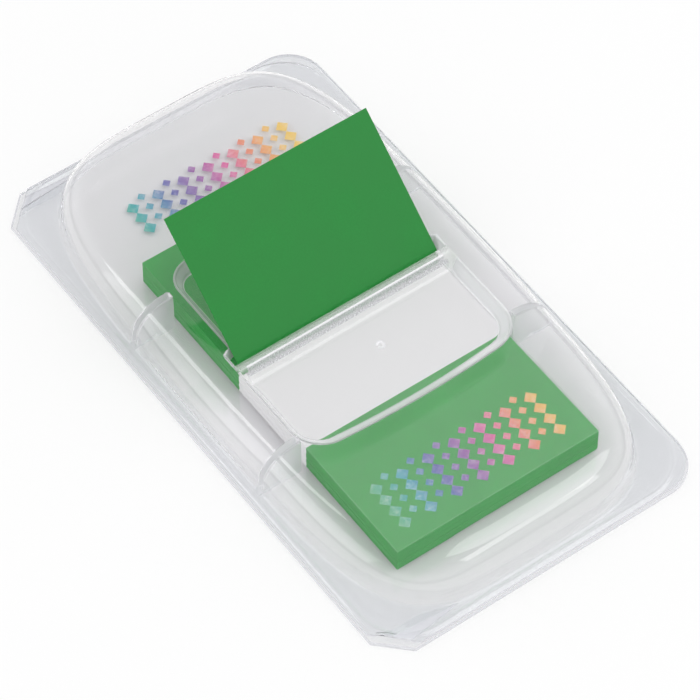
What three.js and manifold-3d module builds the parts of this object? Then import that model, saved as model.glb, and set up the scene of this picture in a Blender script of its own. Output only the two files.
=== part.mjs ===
// Sticky index tabs in a clear pop-up dispenser, in millimetres.
// Origin: bottom centre of the base sheet. X runs across, +Y towards the rear end, +Z up.

import * as THREE from 'three';
import { mergeVertices } from 'three/addons/utils/BufferGeometryUtils.js';
import Module from 'manifold-3d';

// Film tabs and their pad
const tabWidth = 25;
const tabLength = 44.5;
const padHeight = 3.2;
const filmThickness = 0.12;

// Room around the pad inside the cover
const frontRoom = 6.6;
const rearRoom = 15.6;
const lugClearance = 0.6;
const filmClearance = 0.18;

// Raised top tab: how much of it stands up, and how it bends
const liftedLength = 17.45;
const footBendRadius = 0.55;
const leanBendRadius = 1.2;
const leanAngle = THREE.MathUtils.degToRad(40.4);

// Base sheet
const baseThickness = 0.5;
const baseMargin = 1.45;
const cutCorner = 3.2;
const roundCorner = 4.2;

// Cover: sheet, flange and raised bead
const wall = 0.35;
const flangeThickness = 0.35;
const flangeSetback = 0.15;
const beadSetback = 0.35;
const beadWidth = 0.7;
const beadHeight = 0.3;
const beadCornerRadius = 6;

// Cover: dome
const lugDepth = 4.7;
const domeSquareness = 4.5;
const wallDraft = 0.25;
const sideShoulder = 4.2;
const endShoulder = 3.4;
const shoulderRise = 3.5;

// Cover: two shallow pockets in the top, parted by a lip whose front face slopes by lipRun
const pocketDepth = 1.5;
const pocketDraft = 0.3;
const lipThickness = 0.7;
const lipRun = 1.2;
const frontPocketLength = 13;
const frontPocketSide = 0.6;
const frontPocketCorner = 3.6;
const rearPocketLength = 13.95;
const rearPocketSide = -0.15;
const rearPocketCorner = 2.6;
const slotWidth = 0.9;
const slotSide = 0.35;
const slotWellLength = 2;

// Cover: locating lugs pressed into the side walls
const lugSpacing = 22.4;
const lugSlotWidth = 0.9;

// Facets
const outlineSteps = 22;
const shoulderSteps = 6;
const cornerSteps = 6;
const bendSteps = 6;

// Places worked out from the sizes above
const cavityLength = tabLength + frontRoom + rearRoom;
const domeHalfLength = cavityLength / 2 + wall;
const lugFace = tabWidth / 2 + lugClearance;
const domeHalfWidth = lugFace + wall + lugDepth;
const baseHalfWidth = domeHalfWidth + baseMargin;
const baseHalfLength = domeHalfLength + baseMargin;
const padFrontY = -cavityLength / 2 + frontRoom;
const padRearY = padFrontY + tabLength;
const padTopZ = baseThickness + padHeight;
const flangeTopZ = baseThickness + flangeThickness;
const pocketUndersideZ = padTopZ + filmThickness + filmClearance;
const pocketFloorZ = pocketUndersideZ + wall;
const domeTopZ = pocketFloorZ + pocketDepth;
const slotY = padRearY - liftedLength;
const lipRearY = slotY - slotWidth / 2;
const lipFrontY = lipRearY - lipThickness;
const over = 1;

const wasm = await Module();
wasm.setup();

function toSolid(geometry) {
  const bare = geometry.clone();
  bare.deleteAttribute('normal');
  bare.deleteAttribute('uv');
  const merged = mergeVertices(bare, 1e-4);
  return new wasm.Manifold(new wasm.Mesh({
    numProp: 3,
    vertProperties: Float32Array.from(merged.attributes.position.array),
    triVerts: Uint32Array.from(merged.index.array),
  }));
}

function toGeometry(solid) {
  const mesh = solid.getMesh();
  const geometry = new THREE.BufferGeometry();
  geometry.setAttribute('position', new THREE.BufferAttribute(Float32Array.from(mesh.vertProperties), 3));
  geometry.setIndex(new THREE.BufferAttribute(Uint32Array.from(mesh.triVerts), 1));
  geometry.computeVertexNormals();
  return geometry;
}

// Closed body through outlines of equal point count, each { z, outline }, from the lowest up.
function loft(levels) {
  const count = levels[0].outline.length;
  const positions = [];
  const faces = [];
  for (const { z, outline } of levels) {
    for (const point of outline) positions.push(point.x, point.y, z);
  }
  for (let level = 0; level + 1 < levels.length; level += 1) {
    for (let i = 0; i < count; i += 1) {
      const lower = level * count + i;
      const lowerNext = level * count + (i + 1) % count;
      faces.push(lower, lowerNext, lowerNext + count);
      faces.push(lower, lowerNext + count, lower + count);
    }
  }
  const top = (levels.length - 1) * count;
  for (let i = 1; i + 1 < count; i += 1) {
    faces.push(0, i + 1, i);
    faces.push(top, top + i, top + i + 1);
  }
  const geometry = new THREE.BufferGeometry();
  geometry.setAttribute('position', new THREE.Float32BufferAttribute(positions, 3));
  geometry.setIndex(faces);
  return geometry;
}

// Outline with bowed sides and large soft corners.
function softOutline(halfWidth, halfLength) {
  const points = [];
  const power = 2 / domeSquareness;
  for (let i = 0; i < 4 * outlineSteps; i += 1) {
    const angle = (i / outlineSteps) * (Math.PI / 2);
    const x = Math.sign(Math.cos(angle)) * Math.abs(Math.cos(angle)) ** power;
    const y = Math.sign(Math.sin(angle)) * Math.abs(Math.sin(angle)) ** power;
    points.push(new THREE.Vector2(halfWidth * x, halfLength * y));
  }
  return points;
}

// Rectangle from (-halfWidth, frontY) to (halfWidth, rearY), with its own radius at each end.
function pocketOutline(halfWidth, frontY, rearY, frontRadius, rearRadius) {
  const corners = [
    [halfWidth, rearY, -1, -1, rearRadius, 0],
    [-halfWidth, rearY, 1, -1, rearRadius, 1],
    [-halfWidth, frontY, 1, 1, frontRadius, 2],
    [halfWidth, frontY, -1, 1, frontRadius, 3],
  ];
  const points = [];
  for (const [x, y, inwardX, inwardY, radius, quarter] of corners) {
    for (let i = 0; i <= cornerSteps; i += 1) {
      const angle = (quarter + i / cornerSteps) * (Math.PI / 2);
      const centreX = x + inwardX * radius;
      const centreY = y + inwardY * radius;
      points.push(new THREE.Vector2(centreX + radius * Math.cos(angle), centreY + radius * Math.sin(angle)));
    }
  }
  return points;
}

// Plate outline: cut corners on the left, round corners on the right.
function plateShape(halfWidth, halfLength) {
  const shape = new THREE.Shape();
  shape.moveTo(-halfWidth + cutCorner, -halfLength);
  shape.lineTo(halfWidth - roundCorner, -halfLength);
  shape.absarc(halfWidth - roundCorner, -halfLength + roundCorner, roundCorner, -Math.PI / 2, 0, false);
  shape.lineTo(halfWidth, halfLength - roundCorner);
  shape.absarc(halfWidth - roundCorner, halfLength - roundCorner, roundCorner, 0, Math.PI / 2, false);
  shape.lineTo(-halfWidth + cutCorner, halfLength);
  shape.lineTo(-halfWidth, halfLength - cutCorner);
  shape.lineTo(-halfWidth, -halfLength + cutCorner);
  shape.closePath();
  return shape;
}

function plate(halfWidth, halfLength, thickness, z) {
  const settings = { depth: thickness, bevelEnabled: false, curveSegments: cornerSteps };
  return new THREE.ExtrudeGeometry(plateShape(halfWidth, halfLength), settings).translate(0, 0, z);
}

function block(x0, x1, y0, y1, z0, z1) {
  const geometry = new THREE.BoxGeometry(x1 - x0, y1 - y0, z1 - z0);
  return geometry.translate((x0 + x1) / 2, (y0 + y1) / 2, (z0 + z1) / 2);
}

// Dome body set in from its outer surface by inset, standing on bottomZ.
function domeSolid(inset, bottomZ) {
  const halfWidth = domeHalfWidth - inset;
  const halfLength = domeHalfLength - inset;
  const levels = [{ z: bottomZ, outline: softOutline(halfWidth, halfLength) }];
  for (let step = 0; step <= shoulderSteps; step += 1) {
    const angle = (step / shoulderSteps) * (Math.PI / 2);
    const side = wallDraft + (sideShoulder - inset) * (1 - Math.cos(angle));
    const end = wallDraft + (endShoulder - inset) * (1 - Math.cos(angle));
    levels.push({
      z: domeTopZ - shoulderRise + (shoulderRise - inset) * Math.sin(angle),
      outline: softOutline(halfWidth - side, halfLength - end),
    });
  }
  return toSolid(loft(levels));
}

// The pockets' space, grown by a sheet thickness where the inner side of the sheet is wanted.
function pocketSpace(grow) {
  const floorZ = pocketFloorZ - grow;
  const mouthZ = domeTopZ + over;
  const flare = pocketDraft * (mouthZ - floorZ) / pocketDepth;
  const lipFlare = lipRun * (mouthZ - floorZ) / pocketDepth;
  const lipFootY = lipFrontY + grow - lipRun * (domeTopZ - floorZ) / pocketDepth;
  const frontHalf = tabWidth / 2 + frontPocketSide + grow;
  const rearHalf = tabWidth / 2 + rearPocketSide + grow;
  const frontEndY = lipFrontY - frontPocketLength - grow;
  const rearEndY = lipRearY + rearPocketLength + grow;
  const frontRadius = frontPocketCorner + grow;
  const rearRadius = rearPocketCorner + grow;
  const lipRadius = lipThickness + grow;
  const front = loft([
    {
      z: floorZ,
      outline: pocketOutline(
        frontHalf - pocketDraft, frontEndY + pocketDraft, lipFootY, frontRadius, lipRadius,
      ),
    },
    {
      z: mouthZ,
      outline: pocketOutline(
        frontHalf - pocketDraft + flare, frontEndY + pocketDraft - flare, lipFootY + lipFlare, frontRadius, lipRadius,
      ),
    },
  ]);
  const rear = loft([
    {
      z: floorZ,
      outline: pocketOutline(rearHalf - pocketDraft, lipRearY - grow, rearEndY - pocketDraft, lipRadius, rearRadius),
    },
    {
      z: mouthZ,
      outline: pocketOutline(
        rearHalf - pocketDraft + flare, lipRearY - grow, rearEndY - pocketDraft + flare, lipRadius, rearRadius,
      ),
    },
  ]);
  const well = block(
    -frontHalf, frontHalf, lipRearY - grow, lipRearY + slotWellLength + grow, floorZ, mouthZ,
  );
  return toSolid(front).add(toSolid(rear)).add(toSolid(well));
}

// The narrow slots pressed into both side walls: their inner ends are the lugs that centre the pad.
function lugSpace(grow, bottomZ) {
  const width = lugSlotWidth + 2 * grow;
  const innerX = lugFace + wall - grow;
  const outerX = domeHalfWidth + grow / 2;
  let space = null;
  for (const centreY of [-lugSpacing / 2, lugSpacing / 2]) {
    for (const [x0, x1] of [[innerX, outerX], [-outerX, -innerX]]) {
      const slot = toSolid(block(x0, x1, centreY - width / 2, centreY + width / 2, bottomZ, domeTopZ + over));
      space = space ? space.add(slot) : slot;
    }
  }
  return space;
}

function beadSolid() {
  const ring = (setback, radius, z) => ({
    z,
    outline: pocketOutline(
      baseHalfWidth - setback, -baseHalfLength + setback, baseHalfLength - setback, radius, radius,
    ),
  });
  const innerSetback = beadSetback + beadWidth;
  const innerRadius = beadCornerRadius - beadWidth;
  const topZ = flangeTopZ + beadHeight;
  const outer = loft([ring(beadSetback, beadCornerRadius, baseThickness), ring(beadSetback, beadCornerRadius, topZ)]);
  const inner = loft([
    ring(innerSetback, innerRadius, baseThickness - over),
    ring(innerSetback, innerRadius, topZ + over),
  ]);
  return toSolid(outer).subtract(toSolid(inner));
}

function coverGeometry() {
  const flange = toSolid(plate(
    baseHalfWidth - flangeSetback, baseHalfLength - flangeSetback, flangeThickness, baseThickness,
  ));
  const outside = flange.add(beadSolid()).add(domeSolid(0, baseThickness))
    .subtract(pocketSpace(0)).subtract(lugSpace(0, flangeTopZ));
  const inside = domeSolid(wall, baseThickness - over)
    .subtract(pocketSpace(wall)).subtract(lugSpace(wall, baseThickness - 2 * over));
  const slotHalf = tabWidth / 2 + slotSide;
  const slot = toSolid(block(
    -slotHalf, slotHalf, lipRearY, lipRearY + slotWidth, pocketUndersideZ - over, pocketFloorZ + over,
  ));
  return toGeometry(outside.subtract(inside).subtract(slot));
}

function baseGeometry() {
  return plate(baseHalfWidth, baseHalfLength, baseThickness, 0);
}

function padGeometry() {
  return block(-tabWidth / 2, tabWidth / 2, padFrontY, padRearY, baseThickness, padTopZ);
}

// Side view of the top tab: flat on the pad, up through the slot, then leaning back.
function raisedTabGeometry() {
  const middleZ = padTopZ + filmThickness / 2;
  const footCentre = new THREE.Vector2(slotY - footBendRadius, middleZ + footBendRadius);
  const leanCentre = new THREE.Vector2(slotY + leanBendRadius, footCentre.y);
  const leanTurn = Math.PI / 2 - leanAngle;
  const flatLength = footCentre.x - padFrontY;
  const bentLength = footBendRadius * (Math.PI / 2) + leanBendRadius * leanTurn;
  const straightLength = tabLength - flatLength - bentLength;
  const along = new THREE.Vector2(Math.cos(leanAngle), Math.sin(leanAngle));
  const side = (offset) => {
    const points = [new THREE.Vector2(padFrontY, middleZ - offset)];
    for (let i = 0; i <= bendSteps; i += 1) {
      const angle = -Math.PI / 2 + (i / bendSteps) * (Math.PI / 2);
      const radius = footBendRadius + offset;
      points.push(new THREE.Vector2(
        footCentre.x + radius * Math.cos(angle), footCentre.y + radius * Math.sin(angle),
      ));
    }
    for (let i = 1; i <= bendSteps; i += 1) {
      const angle = Math.PI - (i / bendSteps) * leanTurn;
      const radius = leanBendRadius - offset;
      points.push(new THREE.Vector2(
        leanCentre.x + radius * Math.cos(angle), leanCentre.y + radius * Math.sin(angle),
      ));
    }
    points.push(points[points.length - 1].clone().addScaledVector(along, straightLength));
    return points;
  };
  const outline = [...side(filmThickness / 2), ...side(-filmThickness / 2).reverse()];
  const settings = { depth: tabWidth, bevelEnabled: false };
  const geometry = new THREE.ExtrudeGeometry(new THREE.Shape(outline), settings);
  geometry.translate(0, 0, -tabWidth / 2);
  const axes = new THREE.Matrix4().makeBasis(
    new THREE.Vector3(0, 1, 0), new THREE.Vector3(0, 0, 1), new THREE.Vector3(1, 0, 0),
  );
  return geometry.applyMatrix4(axes);
}

const clearSheet = { color: 0xe6e8ea, roughness: 0.08, metalness: 0, transparent: true, opacity: 0.35 };
const greenFilm = { color: 0x3f9049, roughness: 0.4, metalness: 0 };

function piece(name, geometry, look) {
  const mesh = new THREE.Mesh(geometry, new THREE.MeshStandardMaterial(look));
  mesh.name = name;
  return mesh;
}

const dispenser = new THREE.Group();
dispenser.add(piece('base_sheet', baseGeometry(), clearSheet));
dispenser.add(piece('cover', coverGeometry(), clearSheet));
dispenser.add(piece('tab_pad', padGeometry(), greenFilm));
dispenser.add(piece('raised_tab', raisedTabGeometry(), greenFilm));

export default dispenser;
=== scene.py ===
"""Sticky index tabs in a clear pop-up dispenser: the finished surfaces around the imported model.

All sizes in this file are millimetres unless a name says otherwise, and meshes are written in metres.
The frame is the model's own: X across, +Y towards the rear end, where the raised tab leans, and +Z up.
"""

import logging
import math
from abc import ABC, abstractmethod
from dataclasses import dataclass
from enum import Enum, IntEnum
from typing import ClassVar

import bpy
from mathutils import Matrix, Vector


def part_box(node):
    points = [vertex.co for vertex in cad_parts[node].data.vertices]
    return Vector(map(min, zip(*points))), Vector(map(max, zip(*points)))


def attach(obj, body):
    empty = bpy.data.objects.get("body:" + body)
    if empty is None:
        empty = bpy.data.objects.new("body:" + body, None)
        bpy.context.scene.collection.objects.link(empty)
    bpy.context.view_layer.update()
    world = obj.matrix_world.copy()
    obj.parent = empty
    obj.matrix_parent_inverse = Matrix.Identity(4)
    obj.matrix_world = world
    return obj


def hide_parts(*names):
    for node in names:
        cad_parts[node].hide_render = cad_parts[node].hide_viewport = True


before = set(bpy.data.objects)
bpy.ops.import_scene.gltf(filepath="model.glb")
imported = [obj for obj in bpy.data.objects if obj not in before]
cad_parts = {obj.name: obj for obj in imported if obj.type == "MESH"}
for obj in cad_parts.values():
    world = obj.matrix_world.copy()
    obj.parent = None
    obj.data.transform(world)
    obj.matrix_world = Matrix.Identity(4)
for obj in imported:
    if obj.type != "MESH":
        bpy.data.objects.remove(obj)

MM = 0.001
BODY = "root"
LOG = logging.getLogger("index_tabs")

Point = tuple[float, float]
Point3 = tuple[float, float, float]
Colour = tuple[float, float, float]
Inputs = dict[str | int, object]
Node = bpy.types.Node
Socket = bpy.types.NodeSocket

WHITE: Colour = (1.0, 1.0, 1.0)
ROUND_STEPS = 24
CURVE_STEPS = 240


class Slot(Enum):
    """Names of the record's material slots, handed along with the pieces."""

    BASE = "clear_base"
    COVER = "clear_cover"
    PAD = "pad_film"
    TAB = "tab_film"


class Dress(IntEnum):
    """Places of the cover's materials on its mesh: a cut edge takes the one after its own sheet's."""

    CLEAR = 0
    # Milky finish: haze partly the sheet's own and partly a painted reflection on upright walls; also the
    # painted highlight lines on the lip and the painted highlight ring round the dimple
    MILKY_SHEEN = 1
    FROSTED = 2
    FLANGE = 3
    # Cut edges, rough and tinted darker: a painted dark line where refraction draws one
    EDGE = 4
    CREST = 5


class Corner(Enum):
    """How a corner of a plate is finished."""

    CUT = "cut"
    ROUND = "round"


@dataclass(frozen=True)
class NodeBox:
    """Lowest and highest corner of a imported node."""

    low: Point3
    high: Point3

    @classmethod
    def of(cls, node: str) -> "NodeBox":
        """Read a node's box from the frame.

        Args:
            node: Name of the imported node.

        Returns:
            The box in millimetres.
        """
        low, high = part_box(node)
        return cls(tuple(value / MM for value in low), tuple(value / MM for value in high))


def smooth_step(value: float) -> float:
    """Ease a share between 0 and 1 with level ends.

    Args:
        value: Share, which may lie outside 0 to 1.

    Returns:
        The eased share.
    """
    share = min(max(value, 0.0), 1.0)
    return share * share * (3 - 2 * share)


def spaced(start: float, stop: float, steps: int, before: int = 0, after: int = 0) -> list[float]:
    """Space values evenly from one to another.

    Args:
        start: First value.
        stop: Last value.
        steps: Number of stretches between them.
        before: How many more values lie before the first.
        after: How many more values lie after the last.

    Returns:
        The values, in order.
    """
    return [start + (stop - start) * step / steps for step in range(-before, steps + after + 1)]


def soft_max(first: float, second: float, blend: float) -> float:
    """Take the higher of two heights with a rounded change between them.

    Args:
        first: One height.
        second: The other height.
        blend: How far apart the heights may be and still be blended.

    Returns:
        The blended height.
    """
    overlap = max(blend - abs(first - second), 0.0) / blend
    return max(first, second) + overlap * overlap * blend / 4


def soft_min(first: float, second: float, blend: float) -> float:
    """Take the lower of two heights with a rounded change between them.

    Args:
        first: One height.
        second: The other height.
        blend: How far apart the heights may be and still be blended.

    Returns:
        The blended height.
    """
    return -soft_max(-first, -second, blend)


def shares_along(line: list[Point]) -> list[float]:
    """Find the share of a line's length reached at each of its points.

    Args:
        line: Points of the line.

    Returns:
        The shares, from 0 to 1.
    """
    reach = [0.0]
    for first, second in zip(line, line[1:]):
        reach.append(reach[-1] + math.dist(first, second))
    return [value / reach[-1] for value in reach]


def walk(line: list[Point], wanted: list[float]) -> list[Point]:
    """Find the points at some shares of a line's length.

    Args:
        line: Points of the line.
        wanted: The shares, in rising order.

    Returns:
        The points.
    """
    reach = shares_along(line)
    points, piece = [], 0
    for share in wanted:
        while piece + 2 < len(reach) and reach[piece + 1] < share:
            piece += 1
        part = (share - reach[piece]) / (reach[piece + 1] - reach[piece])
        (x0, y0), (x1, y1) = line[piece], line[piece + 1]
        points.append((x0 + (x1 - x0) * part, y0 + (y1 - y0) * part))
    return points


@dataclass(frozen=True)
class Quadrant:
    """A quarter of an outline, as a line from the side's middle to the end's middle."""

    line: tuple[Point, ...]
    corners: tuple[Point, ...] = ()

    def side_x(self, y: float) -> float:
        """Find the half width at a distance along the side.

        Args:
            y: Distance from the middle, along the length.

        Returns:
            The half width there.
        """
        for (x0, y0), (x1, y1) in zip(self.line, self.line[1:]):
            if y0 <= y <= y1 and y1 > y0:
                return x0 + (x1 - x0) * (y - y0) / (y1 - y0)
        return self.line[-1][0]

    def end_points(self, y_side: float, steps: int) -> list[Point]:
        """Space points evenly from the side's last row to the end's middle.

        Args:
            y_side: Where the side's last row is.
            steps: Number of stretches between the points.

        Returns:
            The points, with each sharp corner of the outline kept.
        """
        tail = [(self.side_x(y_side), y_side)]
        tail += [point for point in self.line if point[1] > y_side]
        points = walk(tail, spaced(0.0, 1.0, steps))
        for corner in self.corners:
            nearest = min(range(1, steps), key=lambda i: math.dist(points[i], corner))
            points[nearest] = corner
        return points


def arc(centre: Point, radius: float, steps: int) -> list[Point]:
    """Make a quarter circle from the X direction to the Y direction.

    Args:
        centre: Centre of the circle.
        radius: Its radius.
        steps: Number of stretches.

    Returns:
        The points of the arc.
    """
    angles = spaced(0.0, math.pi / 2, steps)
    return [(centre[0] + radius * math.cos(a), centre[1] + radius * math.sin(a)) for a in angles]


def plate_quadrant(half_width: float, half_length: float, corner: float, style: Corner) -> Quadrant:
    """Make a quarter of a plate's outline.

    Args:
        half_width: Half width of the plate.
        half_length: Half length of the plate.
        corner: Length of the cut, or radius of the round corner.
        style: How the corner is finished.

    Returns:
        The quadrant.
    """
    side, end = (half_width, half_length - corner), (half_width - corner, half_length)
    turn = (side, end) if style is Corner.CUT else arc((end[0], side[1]), corner, ROUND_STEPS)
    kept = (side, end) if style is Corner.CUT else ()
    return Quadrant(((half_width, 0.0), *turn, (0.0, half_length)), kept)


def soft_quadrant(half_width: float, half_length: float, squareness: float) -> Quadrant:
    """Make a quarter of an outline with bowed sides and large soft corners.

    Args:
        half_width: Half width of the outline.
        half_length: Half length of the outline.
        squareness: Power of the curve: 2 is an ellipse, and more is squarer.

    Returns:
        The quadrant.
    """
    power = 2 / squareness
    angles = spaced(0.0, math.pi / 2, CURVE_STEPS)[1:-1]
    line = [(half_width * math.cos(a) ** power, half_length * math.sin(a) ** power) for a in angles]
    return Quadrant(((half_width, 0.0), *line, (0.0, half_length)))


@dataclass(frozen=True)
class Outline:
    """A closed outline, as its four quadrants."""

    front_right: Quadrant
    rear_right: Quadrant
    rear_left: Quadrant
    front_left: Quadrant

    def stations(self, rows: list[float], end_steps: int) -> list[Point]:
        """Put the same number of points on any outline, so that rings can be joined.

        Args:
            rows: Places along Y of the points on both sides, from the front to the rear.
            end_steps: Number of stretches from a side's last row to an end's middle.

        Returns:
            The points, anticlockwise from above, from the right side's front row on.
        """
        right = [(self._side(y, self.front_right, self.rear_right), y) for y in rows]
        left = [(-self._side(y, self.front_left, self.rear_left), y) for y in reversed(rows)]
        quadrants = (self.rear_right, self.rear_left, self.front_left, self.front_right)
        rear_right, rear_left, front_left, front_right = (
            quadrant.end_points(rows[-1], end_steps) for quadrant in quadrants
        )
        rear = rear_right[1:] + [(-x, y) for x, y in reversed(rear_left[1:-1])]
        front = [(-x, -y) for x, y in front_left[1:]] + [(x, -y) for x, y in reversed(front_right[1:-1])]
        return right + rear + left + front

    @staticmethod
    def _side(y: float, front: Quadrant, rear: Quadrant) -> float:
        """Half width at a place along Y."""
        return rear.side_x(y) if y >= 0 else front.side_x(-y)


def even_outline(quadrant: Quadrant) -> Outline:
    """Use one quadrant for all four quarters."""
    return Outline(quadrant, quadrant, quadrant, quadrant)


def make_mesh(name: str, vertices: list[Point3], faces: list[tuple[int, ...]]) -> bpy.types.Object:
    """Make a mesh object whose place is in its mesh.

    Args:
        name: Name of the piece.
        vertices: Places of the vertices in millimetres.
        faces: Vertex numbers of each face.

    Returns:
        The new object.
    """
    mesh = bpy.data.meshes.new(name)
    mesh.from_pydata([tuple(value * MM for value in vertex) for vertex in vertices], [], faces)
    mesh.validate()
    piece = bpy.data.objects.new(name, mesh)
    bpy.context.scene.collection.objects.link(piece)
    return piece


def settle(piece: bpy.types.Object, sharp_degrees: float | None = None) -> None:
    """Turn a piece's modifiers into a plain mesh.

    Args:
        piece: The piece.
        sharp_degrees: Edges that turn by more than this are kept sharp, and the rest is shaded smooth.
    """
    bpy.context.view_layer.update()
    evaluated = piece.evaluated_get(bpy.context.evaluated_depsgraph_get())
    plain = bpy.data.meshes.new_from_object(evaluated)
    plain.name = piece.name
    piece.modifiers.clear()
    piece.data = plain
    if sharp_degrees is not None:
        plain.shade_smooth()
        plain.set_sharp_from_angle(angle=math.radians(sharp_degrees))


def thicken(piece: bpy.types.Object, thickness: float, offset: float, rim_step: int = 0) -> None:
    """Give a sheet its thickness.

    Args:
        piece: The sheet.
        thickness: Thickness in millimetres.
        offset: -1 grows it behind its faces, and 0 to both sides.
        rim_step: How many material slots after its face's a cut edge takes its own.
    """
    solidify = piece.modifiers.new("sheet", "SOLIDIFY")
    solidify.thickness = thickness * MM
    solidify.offset = offset
    solidify.use_even_offset = True
    solidify.material_offset_rim = rim_step
    solidify.use_quality_normals = True


def hand_over(piece: bpy.types.Object, slot: Slot, *nodes: str) -> None:
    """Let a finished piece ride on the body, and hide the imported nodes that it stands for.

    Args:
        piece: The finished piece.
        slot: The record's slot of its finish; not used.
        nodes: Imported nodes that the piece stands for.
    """
    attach(piece, BODY)
    if nodes:
        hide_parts(*nodes)
    LOG.info("%s: %d faces", piece.name, len(piece.data.polygons))


class NodeBuilder:
    """Short calls for building a node tree."""

    def __init__(self, tree: bpy.types.NodeTree) -> None:
        """Keep the tree that the nodes go into."""
        self.tree = tree

    def add(self, kind: str, inputs: Inputs | None = None, **settings: object) -> Node:
        """Add a node.

        Args:
            kind: Blender's name of the node type.
            inputs: Socket or plain value for each named or numbered input.
            settings: Properties of the node to set.

        Returns:
            The new node.
        """
        node = self.tree.nodes.new(kind)
        for name, value in settings.items():
            setattr(node, name, value)
        self.fill(node, inputs or {})
        return node

    def fill(self, node: Node, inputs: Inputs) -> None:
        """Link sockets to a node's inputs, or write plain values on them.

        Args:
            node: The node.
            inputs: Socket or plain value for each named or numbered input.
        """
        for entry, value in inputs.items():
            target = node.inputs[entry]
            if isinstance(value, Socket):
                self.tree.links.new(value, target)
            elif target.type == "RGBA":
                target.default_value = opaque(value)
            else:
                target.default_value = value

    def math(self, operation: str, first: object, second: object = 0.0) -> Socket:
        """Add a math node for two sockets or numbers, and give its result."""
        return self.add("ShaderNodeMath", {0: first, 1: second}, operation=operation).outputs[0]

    def ramp(self, value: Socket, span: Point, low: float, high: float) -> Socket:
        """Map a range of values smoothly to another.

        Args:
            value: Socket of the value.
            span: Start and end of the range read.
            low: Result at its start.
            high: Result at its end.

        Returns:
            The result's socket.
        """
        inputs = {"Value": value, "From Min": span[0], "From Max": span[1], "To Min": low, "To Max": high}
        return self.add("ShaderNodeMapRange", inputs, interpolation_type="SMOOTHSTEP").outputs["Result"]

    def blend(self, share: object, first: object, second: object) -> Socket:
        """Mix two colours, and give the mixed colour's socket."""
        return self.add("ShaderNodeMix", {0: share, 6: first, 7: second}, data_type="RGBA").outputs[2]

    def along(self, axis: str) -> Socket:
        """Read a place along one of the object's axes, in metres."""
        place = self.add("ShaderNodeTexCoord").outputs["Object"]
        return self.add("ShaderNodeSeparateXYZ", {0: place}).outputs[axis]


def opaque(colour: Colour) -> tuple[float, float, float, float]:
    """Give a colour its fourth number."""
    return (*colour, 1.0)


def surface_grain_group() -> bpy.types.NodeTree:
    """Build the group that all plastics share: slow waves of a formed sheet and fine grain on top.

    Returns:
        The group, with Value, for colour and roughness, and Normal.
    """
    group = bpy.data.node_groups.new("surface_grain", "ShaderNodeTree")
    for name, kind in (
        ("Vector", "NodeSocketVector"), ("Wave Scale", "NodeSocketFloat"), ("Wave Height", "NodeSocketFloat"),
        ("Grain Scale", "NodeSocketFloat"), ("Grain Height", "NodeSocketFloat"),
    ):
        group.interface.new_socket(name, in_out="INPUT", socket_type=kind)
    for name, kind in (("Value", "NodeSocketFloat"), ("Normal", "NodeSocketVector")):
        group.interface.new_socket(name, in_out="OUTPUT", socket_type=kind)
    build = NodeBuilder(group)
    given = build.add("NodeGroupInput").outputs
    heights, normal = [], None
    for name, detail in (("Wave", 1.5), ("Grain", 3.0)):
        place = {"Vector": given["Vector"], "Scale": given[f"{name} Scale"], "Detail": detail}
        heights.append(build.add("ShaderNodeTexNoise", place).outputs["Fac"])
        relief = {"Distance": given[f"{name} Height"], "Height": heights[-1]}
        if normal is not None:
            relief["Normal"] = normal
        normal = build.add("ShaderNodeBump", relief).outputs["Normal"]
    build.add("NodeGroupOutput", {"Value": build.math("MULTIPLY", *heights), "Normal": normal})
    return group


@dataclass(frozen=True)
class Grain:
    """Sizes of a surface's waves and grain, in millimetres."""

    wave_length: float
    wave_height: float
    grain_length: float
    grain_height: float

    def place(self, build: NodeBuilder, group: bpy.types.NodeTree) -> Node:
        """Place the shared group with these sizes.

        Args:
            build: Builder of the material's tree.
            group: The shared group.

        Returns:
            The group's node.
        """
        return build.add("ShaderNodeGroup", {
            "Vector": build.add("ShaderNodeTexCoord").outputs["Object"],
            "Wave Scale": 1 / (self.wave_length * MM),
            "Wave Height": self.wave_height * MM,
            "Grain Scale": 1 / (self.grain_length * MM),
            "Grain Height": self.grain_height * MM,
        }, node_tree=group)


def new_material(name: str) -> tuple[bpy.types.Material, NodeBuilder, Node, Node]:
    """Make a node material.

    Args:
        name: Name of the material.

    Returns:
        The material, its builder, its Principled node and its output node.
    """
    material = bpy.data.materials.new(name)
    material.use_nodes = True
    tree = material.node_tree
    return material, NodeBuilder(tree), tree.nodes["Principled BSDF"], tree.nodes["Material Output"]


@dataclass(frozen=True)
class Finish(ABC):
    """A plastic or ink surface with its own name and grain."""

    name: str
    grain: Grain

    def make(self, group: bpy.types.NodeTree) -> bpy.types.Material:
        """Build the material.

        Args:
            group: The shared grain group.

        Returns:
            The material.
        """
        material, build, shader, output = new_material(self.name)
        grain = self.grain.place(build, group)
        build.fill(shader, {"Normal": grain.outputs["Normal"]})
        result = self.dress(build, shader, grain)
        if result is not None:
            build.fill(output, {"Surface": result})
        return material

    @abstractmethod
    def dress(self, build: NodeBuilder, shader: Node, grain: Node) -> Socket | None:
        """Set the shader's colours and values.

        Args:
            build: Builder of the material's tree.
            shader: The Principled node.
            grain: The grain group's node.

        Returns:
            Socket of the whole surface where it isn't the shader's own, or else None.
        """


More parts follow.
